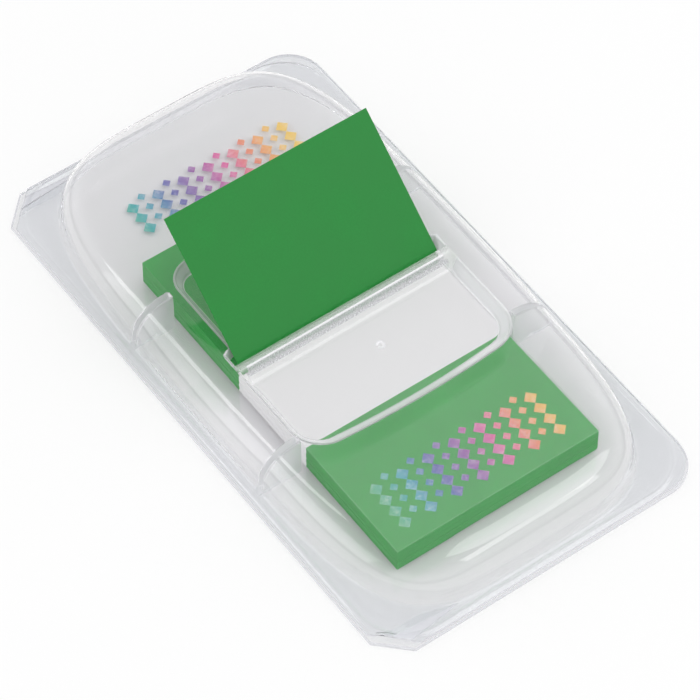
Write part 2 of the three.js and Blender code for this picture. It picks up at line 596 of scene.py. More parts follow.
@dataclass(frozen=True)
class ClearSheet(Finish):
    """Clear formed sheet, a little milky under a gloss, that lets lamp light through to what it covers."""

    tint: Colour
    lamp_tint: Colour
    haze: float
    smooth: float
    rough: float
    bend: float = 1.25
    gloss: float = 1.0
    span: Point = (0.15, 0.45)

    def dress(self, build: NodeBuilder, shader: Node, grain: Node) -> Socket:
        """Set the coated sheet, and let shadow rays and diffuse rays pass it."""
        build.fill(shader, {
            "Base Color": self.tint,
            "Transmission Weight": 1.0 - self.haze,
            "IOR": self.bend,
            "Coat Weight": self.gloss,
            "Coat Roughness": self.rough,
            "Roughness": build.ramp(grain.outputs["Value"], self.span, self.smooth, self.rough),
            "Coat Normal": grain.outputs["Normal"],
        })
        passing = build.add("ShaderNodeBsdfTransparent", {"Color": self.lamp_tint})
        path = build.add("ShaderNodeLightPath").outputs
        lamp = build.math("MAXIMUM", path["Is Shadow Ray"], path["Is Diffuse Ray"])
        surfaces = {0: lamp, 1: shader.outputs[0], 2: passing.outputs[0]}
        return build.add("ShaderNodeMixShader", surfaces).outputs[0]


@dataclass(frozen=True)
class Film(Finish):
    """Satin green film."""

    green: Colour
    deep_green: Colour
    smooth: float
    rough: float
    span: Point = (0.1, 0.5)

    def dress(self, build: NodeBuilder, shader: Node, grain: Node) -> None:
        """Set the film's colour and its uneven satin."""
        value = grain.outputs["Value"]
        shade = build.ramp(value, self.span, 0.0, 1.0)
        green = build.blend(shade, self.deep_green, self.green)
        rough = build.ramp(value, self.span, self.smooth, self.rough)
        build.fill(shader, {"Base Color": self.colour(build, green), "Roughness": rough})

    def colour(self, build: NodeBuilder, green: Socket) -> Socket:
        """Give the film's colour, which is green all over."""
        return green


@dataclass(frozen=True)
class PadFilm(Film):
    """Stacked tab film: green at both ends of the stack, and clear over pale adhesive in the middle."""

    middle: Colour = (0.94, 0.94, 0.945)
    clear_from: float = 0.0
    clear_to: float = 0.0
    edge: float = 0.04

    def colour(self, build: NodeBuilder, green: Socket) -> Socket:
        """Keep the green for both ends.

        Args:
            build: Builder of the material's tree.
            green: Socket of the green.

        Returns:
            Socket of the stack's colour.
        """
        place = build.along("Y")
        front, rear = (
            build.ramp(place, ((start - self.edge) * MM, (start + self.edge) * MM), before, 1 - before)
            for start, before in ((self.clear_from, 1), (self.clear_to, 0))
        )
        return build.blend(build.math("MAXIMUM", front, rear), self.middle, green)


@dataclass(frozen=True)
class TabFilm(Film):
    """Film of the raised tab, a little see-through."""

    alpha: float = 0.98
    sheen: float = 0.3

    def dress(self, build: NodeBuilder, shader: Node, grain: Node) -> None:
        """Set the film, and how see-through and shiny it is."""
        super().dress(build, shader, grain)
        build.fill(shader, {"Alpha": self.alpha, "Specular IOR Level": self.sheen})


@dataclass(frozen=True)
class PrintInk(Finish):
    """Print colours that change along the print, from one end to the other."""

    colours: tuple[Colour, ...]
    half_length: float = 10.5
    pale_share: float = 0.3
    rough: float = 0.45
    span: Point = (0.1, 0.5)

    def dress(self, build: NodeBuilder, shader: Node, grain: Node) -> None:
        """Spread the colours along X, a little paler here and there."""
        along = build.add("ShaderNodeMapRange", {
            "Value": build.along("X"), "From Min": -self.half_length * MM, "From Max": self.half_length * MM,
        })
        hues = build.add("ShaderNodeValToRGB", {"Fac": along.outputs["Result"]})
        stops = hues.color_ramp.elements
        for number, colour in enumerate(self.colours):
            share = number / (len(self.colours) - 1)
            stop = stops[number] if number in (0, 1) else stops.new(share)
            stop.position = share
            stop.color = opaque(colour)
        pale = build.ramp(grain.outputs["Value"], self.span, 0.0, self.pale_share)
        colour = build.blend(pale, hues.outputs["Color"], WHITE)
        build.fill(shader, {"Base Color": colour, "Roughness": self.rough})


@dataclass(frozen=True)
class Finishes:
    """All materials of the object."""

    FRONT_GREEN: ClassVar[float] = 15.4
    REAR_GREEN: ClassVar[float] = 17.4

    cover: bpy.types.Material
    flange: bpy.types.Material
    # milky finish whose haze is partly a painted reflection on walls, and painted highlight lines and ring
    # elsewhere
    milky_sheen: bpy.types.Material
    frosted: bpy.types.Material
    # cut edges, tinted darker as a painted dark line
    edge: bpy.types.Material
    crest: bpy.types.Material
    base: bpy.types.Material
    pad: bpy.types.Material
    tab: bpy.types.Material
    clear_film: bpy.types.Material
    print_ink: bpy.types.Material

    @classmethod
    def build(cls, pad: NodeBox) -> "Finishes":
        """Build every finish once.

        Args:
            pad: Box of the pad of tabs.

        Returns:
            The finishes.
        """
        group = surface_grain_group()
        sheets = (
            ClearSheet("clear_cover_sheet", Grain(5.0, 0.014, 0.5, 0.0002), (0.975, 0.971, 0.977),
                       (0.957, 0.955, 0.958), haze=0.0, smooth=0.02, rough=0.06),
            ClearSheet("clear_flange_sheet", Grain(5.0, 0.003, 0.5, 0.0002), (0.91, 0.92, 0.937),
                       (0.965, 0.966, 0.97), haze=0.07, smooth=0.02, rough=0.06, bend=1.18),
            # milky walls: the high haze is partly the sheet's own and partly a painted white reflection band
            ClearSheet("milky_wall_painted_sheen", Grain(3.0, 0.02, 0.3, 0.001), (0.90, 0.89, 0.92),
                       (0.93, 0.93, 0.935), haze=0.72, smooth=0.08, rough=0.16),
            ClearSheet("frosted_lip_face", Grain(0.35, 0.05, 0.12, 0.02), (0.72, 0.72, 0.74),
                       (0.9, 0.9, 0.905), haze=0.38, smooth=0.2, rough=0.4),
            # cut edges: the rough finish is their own, and the darker grey-lilac tint is a painted dark line
            ClearSheet("cut_edge_painted_dark_line", Grain(2.0, 0.01, 0.3, 0.001), (0.78, 0.78, 0.82),
                       (0.93, 0.93, 0.94), haze=0.45, smooth=0.12, rough=0.25, bend=1.12),
            ClearSheet("clear_lip_crest", Grain(5.0, 0.003, 0.5, 0.0002), (0.985, 0.985, 0.985),
                       (0.96, 0.96, 0.96), haze=0.1, smooth=0.02, rough=0.06, bend=1.06),
            ClearSheet("clear_base_sheet", Grain(9.0, 0.01, 0.6, 0.0004), (0.965, 0.965, 0.972),
                       (0.955, 0.955, 0.96), haze=0.02, smooth=0.02, rough=0.06),
        )
        pad_film = PadFilm(
            "stacked_green_film", Grain(4.0, 0.004, 0.25, 0.002), (0.030, 0.43, 0.07), (0.024, 0.37, 0.058),
            smooth=0.38, rough=0.5,
            clear_from=pad.low[1] + cls.FRONT_GREEN, clear_to=pad.high[1] - cls.REAR_GREEN,
        )
        tab = TabFilm(
            "raised_green_film", Grain(6.0, 0.006, 0.2, 0.0015), (0.016, 0.255, 0.040), (0.013, 0.23, 0.034),
            smooth=0.4, rough=0.52,
        )
        clear_film = ClearSheet(
            "clear_tab_film", Grain(7.0, 0.004, 0.4, 0.0004), (0.99, 0.99, 0.99), (0.98, 0.98, 0.98),
            haze=0.01, smooth=0.08, rough=0.14,
        )
        print_ink = PrintInk("print_colours", Grain(1.2, 0.001, 0.3, 0.001), (
            (0.10, 0.50, 0.22), (0.03, 0.42, 0.50), (0.10, 0.12, 0.45), (0.33, 0.10, 0.42),
            (0.80, 0.12, 0.38), (0.92, 0.30, 0.12), (0.95, 0.62, 0.12),
        ))
        return cls(*(finish.make(group) for finish in (*sheets, pad_film, tab, clear_film, print_ink)))


@dataclass
class CoverShell:
    """The clear cover: one formed sheet with its flange, bead, dome, pockets, lip, slot and lugs."""

    half_width: float
    half_length: float
    flange_z: float
    top_z: float
    floor_z: float
    tab_half: float
    slot_rear: float
    sheet: float = 0.22
    cut_corner: float = 3.9
    round_corner: float = 4.2
    bead_setback: float = 0.15
    bead_width: float = 0.8
    bead_height: float = 0.16
    bead_power: float = 1.2
    bead_corner: float = 6.0
    dome_setback: float = 1.3
    squareness: float = 4.5
    foot_radius: float = 0.3
    wall_draft: float = 0.25
    wall_bow: float = 0.25
    bow_foot: float = 0.6
    bow_head: float = 2.5
    side_shoulder: float = 4.2
    front_shoulder: float = 3.4
    rear_shoulder: float = 1.8
    shoulder_rise: float = 3.5
    rim_radius: float = 0.35
    floor_radius: float = 0.25
    slot_draft: float = 0.3
    side_draft: float = 0.65
    end_draft: float = 1.1
    draft_start: float = 1.0
    draft_full: float = 3.6
    front_side: float = 0.6
    rear_side: float = -0.4
    front_end: float = 13.85
    rear_end: float = 13.8
    front_corner: float = 3.6
    rear_corner: float = 2.6
    front_bow: float = 0.7
    slot_width: float = 0.82
    well_length: float = 1.1
    well_blend: float = 0.25
    lip_crest: float = 0.7
    lip_run: float = 1.2
    # width of the painted highlight lines at the lip's turns
    lip_line: float = 0.18
    clear_share: float = 0.4
    lip_setback: float = 0.08
    lip_blends: Point3 = (0.2, 0.25, 0.12)
    lug_y: float = 11.2
    lug_half: float = 0.27
    lug_face: float = 13.45
    lug_edge: float = 0.1
    lug_rows: tuple[float, ...] = (-0.1, -0.05, -0.02, 0.0, 0.02, 0.05, 0.12, 0.3)
    dimple_x: float = 0.9
    dimple_y: float = -5.6
    dimple_radius: float = 0.5
    dimple_depth: float = 0.14
    # inner and outer reach of the painted highlight ring round the dimple, as shares of its radius
    dimple_ring: Point = (0.5, 0.9)
    steep: float = 0.85
    margin: float = 0.05
    sharp_degrees: float = 50
    side_reach: float = 11.8
    row_step: float = 0.8
    row_gap: float = 0.012
    end_steps: int = 46
    bead_steps: int = 8
    plateau_steps: int = 8
    foot_steps: int = 4
    wall_steps: int = 4
    shoulder_steps: int = 14
    mouth_steps: int = 6
    pocket_wall_steps: int = 5
    floor_steps: int = 4
    outline_steps: int = 16

    def build(self, finishes: Finishes) -> bpy.types.Object:
        """Build the sheet and dress it.

        Args:
            finishes: The object's materials.

        Returns:
            The finished cover.
        """
        rows = self._rows()
        flange = self._flange_rings(rows)
        dome = self._dome_rings(rows)
        pocket = self._pocket_rings(rows)
        plateau = self._between(dome[-1], pocket[0], self.plateau_steps)
        rings = flange + dome + plateau + pocket
        self._press_lugs(rings, len(flange), len(flange) + len(dome) + len(plateau), len(rows))
        vertices = [point for ring in rings for point in ring]
        faces = self._ring_faces(rings, rows)
        self._fill_floor(vertices, faces, len(rings) - 1, rows)
        piece = make_mesh("cover_sheet", vertices, faces)
        for finish in (
            finishes.cover, finishes.milky_sheen, finishes.frosted, finishes.flange, finishes.edge, finishes.crest,
        ):
            piece.data.materials.append(finish)
        self._mark_finishes(piece.data)
        # cut edges take the next slot: the flange's take the darker painted dark line, and the clear sheet's
        # take the milky finish with its painted sheen
        thicken(piece, self.sheet, -1, rim_step=1)
        settle(piece, self.sharp_degrees)
        hand_over(piece, Slot.COVER, "cover")
        return piece

    @property
    def slot_front(self) -> float:
        """Front edge of the slot."""
        return self.slot_rear - self.slot_width

    @property
    def lip_rear(self) -> float:
        """Rear edge of the lip's crest."""
        return self.slot_front - self.lip_setback

    @property
    def lip_front(self) -> float:
        """Front edge of the lip's crest."""
        return self.lip_rear - self.lip_crest

    @property
    def lip_foot(self) -> float:
        """Front end of the lip's slope."""
        return self.lip_front - self.lip_run

    @property
    def well_end(self) -> float:
        """Where the recess has narrowed behind the slot."""
        return self.slot_rear + self.well_length

    def _rows(self) -> list[float]:
        """Places along Y of the rows on both sides, closer where the sheet turns sharply."""
        rows = spaced(-self.side_reach, self.side_reach, round(2 * self.side_reach / self.row_step))
        lug_offsets = [0, *(self.lug_half + offset for offset in self.lug_rows)]
        for centre in (-self.lug_y, self.lug_y):
            rows += [centre + sign * offset for offset in lug_offsets for sign in (-1, 1)]
        rows += spaced(self.lip_foot, self.lip_front, 8, before=2)
        rows += spaced(self.lip_front, self.lip_rear, 6) + spaced(self.lip_rear, self.slot_front, 4)
        rows += spaced(self.slot_front, self.slot_rear, 3) + spaced(self.slot_rear, self.well_end, 5, after=2)
        rows += spaced(self.dimple_y, self.dimple_y + self.dimple_radius, 4, before=5, after=1)
        kept = []
        for y in sorted(rows):
            if not kept or y - kept[-1] > self.row_gap:
                kept.append(y)
        return kept

    def _ring(self, outline: Outline, z: float, rows: list[float]) -> list[Point3]:
        """Put a ring of points on an outline at one height."""
        return [(x, y, z) for x, y in outline.stations(rows, self.end_steps)]

    def _flange_rings(self, rows: list[float]) -> list[list[Point3]]:
        """Make the rings from the flange's edge over the raised bead.

        Args:
            rows: Places along Y of the points on both sides.

        Returns:
            The rings, from the outside in.
        """
        right = plate_quadrant(self.half_width, self.half_length, self.round_corner, Corner.ROUND)
        left = plate_quadrant(self.half_width, self.half_length, self.cut_corner, Corner.CUT)
        rings = [self._ring(Outline(right, right, left, left), self.flange_z, rows)]
        for share in spaced(0.0, 1.0, self.bead_steps):
            run = self.bead_width * share
            width, length = (half - self.bead_setback - run for half in (self.half_width, self.half_length))
            outline = even_outline(plate_quadrant(width, length, self.bead_corner - run, Corner.ROUND))
            height = self.bead_height * math.sin(math.pi * share) ** self.bead_power
            rings.append(self._ring(outline, self.flange_z + height, rows))
        return rings

    def _dome_rings(self, rows: list[float]) -> list[list[Point3]]:
        """Make the rings from the dome's foot up its wall and over its shoulder.

        Args:
            rows: Places along Y of the points on both sides.

        Returns:
            The rings, from the outside in.
        """
        width, length = self.half_width - self.dome_setback, self.half_length - self.dome_setback
        sections = []
        for angle in spaced(0.0, math.pi / 2, self.foot_steps):
            inset = self.foot_radius * (math.sin(angle) - 1)
            sections.append((inset, inset, inset, self.flange_z + self.foot_radius * (1 - math.cos(angle))))
        foot_z = self.flange_z + self.foot_radius
        shoulder_z = self.top_z - self.shoulder_rise
        for share in spaced(0.0, 1.0, self.wall_steps)[1:-1]:
            draft = self.wall_draft * share
            sections.append((draft, draft, draft, foot_z + (shoulder_z - foot_z) * share))
        reaches = (self.side_shoulder, self.front_shoulder, self.rear_shoulder)
        for angle in spaced(0.0, math.pi / 2, self.shoulder_steps):
            side, front, rear = (self.wall_draft + reach * (1 - math.cos(angle)) for reach in reaches)
            sections.append((side, front, rear, shoulder_z + self.shoulder_rise * math.sin(angle)))
        rings = []
        for side, front, rear, z in sections:
            ahead = soft_quadrant(width - side, length - front, self.squareness)
            behind = soft_quadrant(width - side, length - rear, self.squareness)
            ring = self._ring(Outline(ahead, behind, behind, ahead), z, rows)
            rings.append([(x + math.copysign(self._bow(y, z), x), y, z) for x, y, z in ring])
        return rings

    def _bow(self, y: float, z: float) -> float:
        """Find how far the wall stands out between the lugs.

        Args:
            y: Place along the length.
            z: Height.

        Returns:
            The distance.
        """
        along = max(1 - (y / self.lug_y) ** 2, 0.0)
        up = smooth_step((z - self.flange_z) / self.bow_foot) * smooth_step((self.top_z - z) / self.bow_head)
        return self.wall_bow * along * up

    def _pocket_outline(self, inset: float, sunk: float) -> Outline:
        """Outline of the recess that holds both pockets.

        Args:
            inset: How far the rounding of the mouth or of the floor sets the outline in.
            sunk: Share of the way down the sloping wall.

        Returns:
            The outline.
        """
        slot_half = self.tab_half + self.front_side - inset - self.slot_draft * sunk
        side_inset, end_inset = inset + self.side_draft * sunk, inset + self.end_draft * sunk
        front_half, front_end = self.tab_half + self.front_side - side_inset, self.front_end - end_inset
        rear_half, rear_end = self.tab_half + self.rear_side - side_inset, self.rear_end - side_inset
        front_corner, rear_corner = self.front_corner - side_inset, self.rear_corner - side_inset
        inner = front_half - front_corner
        corner_end = front_end - self.front_bow * (inner / front_half) ** 2
        front = [(slot_half, 0.0)]
        for share in spaced(0.0, 1.0, self.outline_steps):
            x = slot_half + (front_half - slot_half) * smooth_step(share)
            front.append((x, self.draft_start + (self.draft_full - self.draft_start) * share))
        front += arc((inner, corner_end - front_corner), front_corner, self.outline_steps)
        for x in spaced(inner, 0.0, self.outline_steps)[1:]:
            front.append((x, front_end - self.front_bow * (x / front_half) ** 2))
        rear = [(slot_half, 0.0), (slot_half, self.well_end - self.well_blend)]
        for share in spaced(0.0, 1.0, 5)[1:]:
            x = slot_half + (rear_half - slot_half) * smooth_step(share)
            rear.append((x, self.well_end + self.well_blend * (2 * share - 1)))
        rear += arc((rear_half - rear_corner, rear_end - rear_corner), rear_corner, self.outline_steps)
        rear.append((0.0, rear_end))
        front_quadrant, rear_quadrant = Quadrant(tuple(front)), Quadrant(tuple(rear))
        return Outline(front_quadrant, rear_quadrant, rear_quadrant, front_quadrant)

    def _pocket_rings(self, rows: list[float]) -> list[list[Point3]]:
        """Make the rings from the pockets' rounded mouth down to the floor, raised where the lip crosses.

        Args:
            rows: Places along Y of the points on both sides.

        Returns:
            The rings, from the outside in.
        """
        sections = []
        for angle in spaced(0.0, math.pi / 2, self.mouth_steps):
            inset = self.rim_radius * (math.sin(angle) - 1)
            sections.append((inset, 0.0, self.top_z - self.rim_radius * (1 - math.cos(angle))))
        wall_top, wall_foot = self.top_z - self.rim_radius, self.floor_z + self.floor_radius
        for share in spaced(0.0, 1.0, self.pocket_wall_steps)[1:-1]:
            sections.append((0.0, share, wall_top + (wall_foot - wall_top) * share))
        for angle in spaced(0.0, math.pi / 2, self.floor_steps):
            inset = self.floor_radius * (1 - math.cos(angle))
            sections.append((inset, 1.0, wall_foot - self.floor_radius * math.sin(angle)))
        rings = []
        for inset, sunk, z in sections:
            ring = self._ring(self._pocket_outline(inset, sunk), z, rows)
            rings.append([(x, y, self._with_lip(y, z)) for x, y, z in ring])
        return rings

    def _with_lip(self, y: float, z: float) -> float:
        """Raise a height where the lip crosses the recess.

        Args:
            y: Place along the length.
            z: Height without the lip.

        Returns:
            Height with the lip.
        """
        depth = self.top_z - self.floor_z
        front = self.floor_z + depth * (y - self.lip_foot) / self.lip_run
        rear = self.floor_z + depth * (self.slot_front - y) / self.lip_setback
        peak, top, foot = self.lip_blends
        crest = soft_min(soft_min(front, rear, peak), self.top_z, top)
        return min(soft_max(z, crest, foot), self.top_z)

    @staticmethod
    def _between(outer: list[Point3], inner: list[Point3], steps: int) -> list[list[Point3]]:
        """Space rings evenly between two rings.

        Args:
            outer: The first ring, which isn't repeated.
            inner: The last ring, which isn't repeated.
            steps: Number of stretches between them.

        Returns:
            The rings between.
        """
        return [
            [tuple(a + (b - a) * share for a, b in zip(first, second)) for first, second in zip(outer, inner)]
            for share in spaced(0.0, 1.0, steps)[1:-1]
        ]

    def _press_lugs(self, rings: list[list[Point3]], first: int, last: int, row_count: int) -> None:
        """Press the narrow slots into both side walls.

        Args:
            rings: All rings, which are changed in place.
            first: Number of the ring at the dome's foot.
            last: Number of the ring at the pockets' mouth.
            row_count: Number of rows on a side.
        """
        left_start = row_count + 2 * self.end_steps - 1
        stations = [*range(row_count), *range(left_start, left_start + row_count)]
        for station in stations:
            y = rings[first][station][1]
            away = abs(abs(y) - self.lug_y)
            weight = 1 - smooth_step((away - self.lug_half) / self.lug_edge + 0.5)
            if weight <= 0:
                continue
            profile = [rings[number][station] for number in range(first, last + 1)]
            side = math.copysign(1.0, profile[0][0])
            foot, mouth = profile[0][0] * side, profile[-1][0] * side
            path = [(foot, self.flange_z), (self.lug_face, self.flange_z), (self.lug_face, self.top_z)]
            path.append((mouth, self.top_z))
            shares = shares_along([(x, z) for x, _, z in profile])
            for number, (x, z) in enumerate(walk(path, shares), first):
                old_x, _, old_z = rings[number][station]
                new_x = old_x + (x * side - old_x) * weight
                rings[number][station] = (new_x, y, old_z + (z - old_z) * weight)

    def _in_slot(self, first_y: float, second_y: float) -> bool:
        """True where a stretch of rows lies in the slot."""
        middle = (first_y + second_y) / 2
        return self.slot_front < middle < self.slot_rear

    def _ring_faces(self, rings: list[list[Point3]], rows: list[float]) -> list[tuple[int, ...]]:
        """Join neighbouring rings, except where the slot cuts the floor's rounding.

        Args:
            rings: All rings.
            rows: Places along Y of the points on both sides.

        Returns:
            Vertex numbers of each face.
        """
        count = len(rings[0])
        rounding = len(rings) - self.floor_steps - 1
        faces = []
        for number in range(len(rings) - 1):
            for i in range(count):
                after = (i + 1) % count
                y0, y1 = rings[number][i][1], rings[number][after][1]
                if number >= rounding and abs(y0) < rows[-1] and self._in_slot(y0, y1):
                    continue
                outer, inner = number * count, (number + 1) * count
                faces.append((outer + i, outer + after, inner + after, inner + i))
        return faces

    def _fill_floor(self, vertices: list[Point3], faces: list[tuple[int, ...]], last_ring: int,
                    rows: list[float]) -> None:
        """Close the recess with its floor and the lip across it, and leave the slot open.

        Args:
            vertices: All vertices, which grow by the floor's.
            faces: All faces, which grow by the floor's.
            last_ring: Number of the innermost ring.
            rows: Places along Y of the rows.
        """
        row_count, columns = len(rows), 2 * self.end_steps
        count = 2 * row_count + 2 * (columns - 1)
        start = last_ring * count
        left_start = start + row_count + columns - 1
        grid = []
        for j, y in enumerate(rows):
            right, left = start + j, left_start + row_count - 1 - j
            half = vertices[right][0]
            line = [right]
            for column in range(1, columns):
                x = half * (1 - 2 * column / columns)
                line.append(len(vertices))
                vertices.append((x, y, self._with_lip(y, self.floor_z) - self._dimple(x, y)))
            grid.append([*line, left])
        for j in range(row_count - 1):
            if self._in_slot(rows[j], rows[j + 1]):
                continue
            near, far = grid[j], grid[j + 1]
            faces += [(near[c], far[c], far[c + 1], near[c + 1]) for c in range(columns)]
        rear = [grid[-1][0], *range(start + row_count, left_start), grid[-1][-1]]
        front_first = left_start + row_count
        front = [grid[0][0], *range(front_first + columns - 2, front_first - 1, -1), grid[0][-1]]
        for column in range(columns):
            self._add_face(faces, grid[-1][column], rear[column], rear[column + 1], grid[-1][column + 1])
            self._add_face(faces, front[column], grid[0][column], grid[0][column + 1], front[column + 1])

    @staticmethod
    def _add_face(faces: list[tuple[int, ...]], *corners: int) -> None:
        """Add a face, without the corners that it has twice."""
        faces.append(tuple(dict.fromkeys(corners)))

    def _dimple(self, x: float, y: float) -> float:
        """Depth of the small round mark in the front pocket's floor."""
        away = math.hypot(x - self.dimple_x, y - self.dimple_y) / self.dimple_radius
        return self.dimple_depth * (1 - smooth_step(away))

    def _mark_finishes(self, mesh: bpy.types.Mesh) -> None:
        """Give each face of the sheet its finish.

        Args:
            mesh: The sheet's mesh.
        """
        for face in mesh.polygons:
            x, y, z = (value / MM for value in face.center)
            face.material_index = self._finish_at(x, y, z, abs(face.normal.z) < self.steep)

    def _finish_at(self, x: float, y: float, z: float, upright: bool) -> Dress:
        """Choose the finish at a place: clear, or milky on upright walls, where the haze is partly the
        sheet's own and partly a painted reflection, or the lip's, or the flange's.

        Args:
            x: Place across the sheet.
            y: Place along it.
            z: Height.
            upright: True where the sheet stands up as a wall.

        Returns:
            The finish.
        """
        within = abs(x) < self.lug_face - self.margin
        if within and self.lip_foot < y < self.slot_front + self.margin and z > self.floor_z - self.margin:
            return self._lip_finish(x, y)
        mark = math.hypot(x - self.dimple_x, y - self.dimple_y) / self.dimple_radius
        by_lug = abs(abs(y) - self.lug_y) < self.lug_half + self.lug_edge
        in_lug = by_lug and z > self.flange_z + self.foot_radius
        in_recess = within and abs(y) < self.front_end + self.rim_radius
        # upright walls get the milky finish, its haze partly a painted reflection; the dimple's ring gets it
        # as a painted highlight
        if self.dimple_ring[0] < mark < self.dimple_ring[1] or upright and (in_lug or in_recess):
            return Dress.MILKY_SHEEN
        return Dress.FLANGE if z < self.flange_z + self.bead_height + self.margin else Dress.CLEAR

    def _lip_finish(self, x: float, y: float) -> Dress:
        """Choose the finish on the lip: a clear crest, frost below it, and a whitish painted highlight line
        at each turn.

        Args:
            x: Place across the lip.
            y: Place along its slope.

        Returns:
            The finish.
        """
        if abs(x) > self.tab_half - self.lug_edge or y > self.lip_front:
            return Dress.CREST
        # painted highlight lines along the lip's two turns, in the milky finish
        if min(2 * (y - self.lip_foot), self.lip_front - y) < self.lip_line / 2:
            return Dress.MILKY_SHEEN
        return Dress.FROSTED if y > self.lip_foot + self.lip_run * self.clear_share else Dress.CLEAR


@dataclass
class BaseSheet:
    """The flat clear sheet under everything, cut at its left corners and rounded at its right ones."""

    half_width: float
    half_length: float
    thickness: float
    cut_corner: float = 3.2
    round_corner: float = 4.2
    edge: float = 0.07
    level: float = 0.9
    sharp_degrees: float = 30

    def build(self, finishes: Finishes) -> bpy.types.Object:
        """Build the sheet with its softened edges.

        Args:
            finishes: The object's materials.

        Returns:
            The finished sheet.
        """
        top = self.thickness
        levels = [(self.edge, 0.0), (0.0, self.edge), (0.0, top - self.edge), (self.edge, top)]
        rings = [self._outline(inset, z) for inset, z in levels]
        count = len(rings[0])
        vertices = [point for ring in rings for point in ring]
        faces = [tuple(reversed(range(count))), tuple(range(3 * count, 4 * count))]
        for level in range(3):
            low, high = level * count, (level + 1) * count
            for i in range(count):
                after = (i + 1) % count
                faces.append((low + i, low + after, high + after, high + i))
        piece = make_mesh("base_plate", vertices, faces)
        piece.data.materials.append(finishes.base)
        # upright faces take the darker edge finish: a painted dark line round the sheet
        piece.data.materials.append(finishes.edge)
        for face in piece.data.polygons:
            face.material_index = 0 if abs(face.normal.z) > self.level else 1
        settle(piece, self.sharp_degrees)
        hand_over(piece, Slot.BASE, "base_sheet")
        return piece

    def _outline(self, inset: float, z: float) -> list[Point3]:
        """Make one ring of the sheet's outline.

        Args:
            inset: How far the ring is set in.
            z: Its height.

        Returns:
            The ring's points.
        """
        width, length = self.half_width - inset, self.half_length - inset
        right = plate_quadrant(width, length, self.round_corner, Corner.ROUND).line[1:-1]
        left = plate_quadrant(width, length, self.cut_corner, Corner.CUT).line[1:-1]
        points = [(x, y) for x, y in right] + [(-x, y) for x, y in reversed(left)]
        points += [(-x, -y) for x, y in left] + [(x, -y) for x, y in reversed(right)]
        return [(x, y, z) for x, y in points]


class NodeRecipe:
    """A geometry tree with named inputs, and the values that one piece gives them."""

    def __init__(self, name: str, inputs: dict[str, tuple[str, object]]) -> None:
        """Make the tree and its inputs.

        Args:
            name: Name of the tree.
            inputs: Socket type and value of each named input.
        """
        self.tree = bpy.data.node_groups.new(name, "GeometryNodeTree")
        self.values = {name: value for name, (_, value) in inputs.items()}
        for label, (kind, _) in inputs.items():
            self.tree.interface.new_socket(label, in_out="INPUT", socket_type=kind)
        self.tree.interface.new_socket("Geometry", in_out="OUTPUT", socket_type="NodeSocketGeometry")
        self.build = NodeBuilder(self.tree)
        self.given = self.build.add("NodeGroupInput").outputs

    def finish(self, geometry: Socket) -> None:
        """End the tree: real geometry with its material.

        Args:
            geometry: Socket of the geometry made.
        """
        real = self.build.add("GeometryNodeRealizeInstances", {0: geometry}).outputs[0]
        dressing = {"Geometry": real, "Material": self.given["Finish"]}
        dress = self.build.add("GeometryNodeSetMaterial", dressing)
        self.build.add("NodeGroupOutput", {"Geometry": dress.outputs[0]})

    def make(self, name: str) -> bpy.types.Object:
        """Run the tree on a new piece.

        Args:
            name: Name of the piece.

        Returns:
            The piece, as a plain mesh.
        """
        piece = make_mesh(name, [], [])
        modifier = piece.modifiers.new(self.tree.name, "NODES")
        modifier.node_group = self.tree
        for item in self.tree.interface.items_tree:
            if item.in_out == "INPUT":
                modifier[item.identifier] = self.values[item.name]
        settle(piece)
        return piece


@dataclass
class TabPad:
    """The stack of film tabs, each a separate thin sheet that lies a little off its neighbours."""

    box: NodeBox
    top_gap: float = 0.04
    film: float = 0.1
    film_share: float = 0.96
    drift: float = 0.045
    seed: int = 7

    def build(self, finishes: Finishes) -> bpy.types.Object:
        """Build the stack.

        Args:
            finishes: The object's materials.

        Returns:
            The finished stack.
        """
        low, high = self.box.low, self.box.high
        bottom = low[2] + self.top_gap
        height = high[2] - self.top_gap - bottom
        count = round(height / self.film)
        pitch = height / count
        recipe = NodeRecipe("film_stack", {
            "Count": ("NodeSocketInt", count),
            "Pitch": ("NodeSocketFloat", pitch * MM),
            "Size": ("NodeSocketVector", (
                (high[0] - low[0] - 2 * self.drift) * MM, (high[1] - low[1] - 2 * self.drift) * MM,
                self.film_share * pitch * MM,
            )),
            "Start": ("NodeSocketVector", (0.0, (low[1] + high[1]) / 2 * MM, (bottom + pitch / 2) * MM)),
            "Drift": ("NodeSocketVector", (self.drift * MM, self.drift * MM, 0.0)),
            "Seed": ("NodeSocketInt", self.seed),
            "Finish": ("NodeSocketMaterial", finishes.pad),
        })
        build, given = recipe.build, recipe.given
        line = build.add("GeometryNodeMeshLine", {
            "Count": given["Count"],
            "Start Location": given["Start"],
            "Offset": build.add("ShaderNodeCombineXYZ", {"Z": given["Pitch"]}).outputs[0],
        })
        back = build.add("ShaderNodeVectorMath", {0: given["Drift"], "Scale": -1.0}, operation="SCALE")
        limits = {0: back.outputs[0], 1: given["Drift"], "Seed": given["Seed"]}
        scatter = build.add("FunctionNodeRandomValue", limits, data_type="FLOAT_VECTOR").outputs[0]
        place = build.add("GeometryNodeSetPosition", {"Geometry": line.outputs[0], "Offset": scatter})
        film = build.add("GeometryNodeMeshCube", {"Size": given["Size"]})
        stack = {"Points": place.outputs[0], "Instance": film.outputs[0]}
        recipe.finish(build.add("GeometryNodeInstanceOnPoints", stack).outputs[0])
        piece = recipe.make("film_pad")
        hand_over(piece, Slot.PAD, "tab_pad")
        return piece


